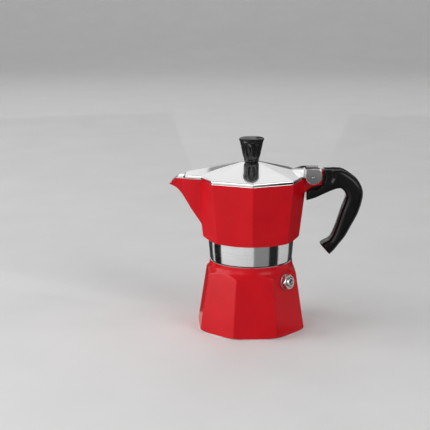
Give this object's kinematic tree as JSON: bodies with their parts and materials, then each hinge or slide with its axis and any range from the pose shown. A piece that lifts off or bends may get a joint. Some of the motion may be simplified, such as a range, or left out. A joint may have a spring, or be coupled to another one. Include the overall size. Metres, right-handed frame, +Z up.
{
  "type": "moka pot",
  "caption": "Stovetop moka pot: faceted boiler with safety valve, coffee funnel, screw-on spouted vessel, hinged lid with knob, side handle.",
  "frame": {"origin": "centre of the boiler's flat underside, on the pot's turning axis", "axes": "+Z up along the turning axis, +X towards the handle, -X towards the spout, +Y to the pot's left when the handle is held behind"},
  "size_m": [0.1591, 0.0926, 0.16],
  "materials": {
    "red_enamel": "gloss enamel on cast aluminium",
    "polished_aluminium": "polished",
    "cast_aluminium": "satin, as cast and turned",
    "nickel": "bright nickel plate on brass",
    "steel": "bright",
    "black_plastic": "moulded, semi-gloss",
    "gasket_rubber": "matte white",
    "seal_rubber": "matte black"
  },
  "bodies": {
    "base": {"boiler": "red_enamel", "valve_body": "nickel", "valve_washer": "cast_aluminium", "valve_retainer": "steel", "valve_spring": "steel"},
    "valve_plunger": {"valve_stem": "nickel", "valve_seal": "seal_rubber"},
    "funnel": {"funnel_basket": "cast_aluminium", "funnel_tube": "cast_aluminium", "funnel_strainer": "cast_aluminium"},
    "seal": {"gasket": "gasket_rubber"},
    "filter": {"filter_plate": "cast_aluminium"},
    "top": {"upper_vessel": "red_enamel", "coffee_column": "cast_aluminium", "handle": "black_plastic", "handle_screw": "steel", "hinge_pin": "steel"},
    "cover": {"lid": "polished_aluminium", "lid_knob": "black_plastic", "knob_screw": "steel"}
  },
  "joints": [
    {"name": "upper_lift", "type": "slide", "parent": "base", "child": "seal", "axis": [0, 0, 1], "range_m": [0, 0.15]},
    {"name": "upper_rise", "type": "slide", "parent": "seal", "child": "filter", "axis": [0, 0, 1], "range_m": [0, 0.0046]},
    {"name": "upper_unscrew", "type": "hinge", "parent": "filter", "child": "top", "pos_m": [0, 0, 0], "axis": [0, 0, 1], "range_deg": [0, 540]},
    {"name": "lid_open", "type": "hinge", "parent": "top", "child": "cover", "pos_m": [0.0502, 0, 0.1276], "axis": [0, 1, 0], "range_deg": [0, 94]},
    {"name": "funnel_lift", "type": "slide", "parent": "base", "child": "funnel", "axis": [0, 0, 1], "range_m": [0, 0.076]},
    {"name": "valve_pop", "type": "slide", "parent": "base", "child": "valve_plunger", "axis": [0.7375, -0.6594, 0.1462], "range_m": [0, 0.0012], "stiffness_N_per_m": 2000, "springref_m": -0.001, "deforming": ["valve_spring"]}
  ],
  "couplings": [
    {"joint": "upper_rise", "follows": "upper_unscrew", "m_per_rad": 0.00047746},
    {"joint": "funnel_lift", "follows": "upper_lift", "ratio": 0.5}
  ]
}
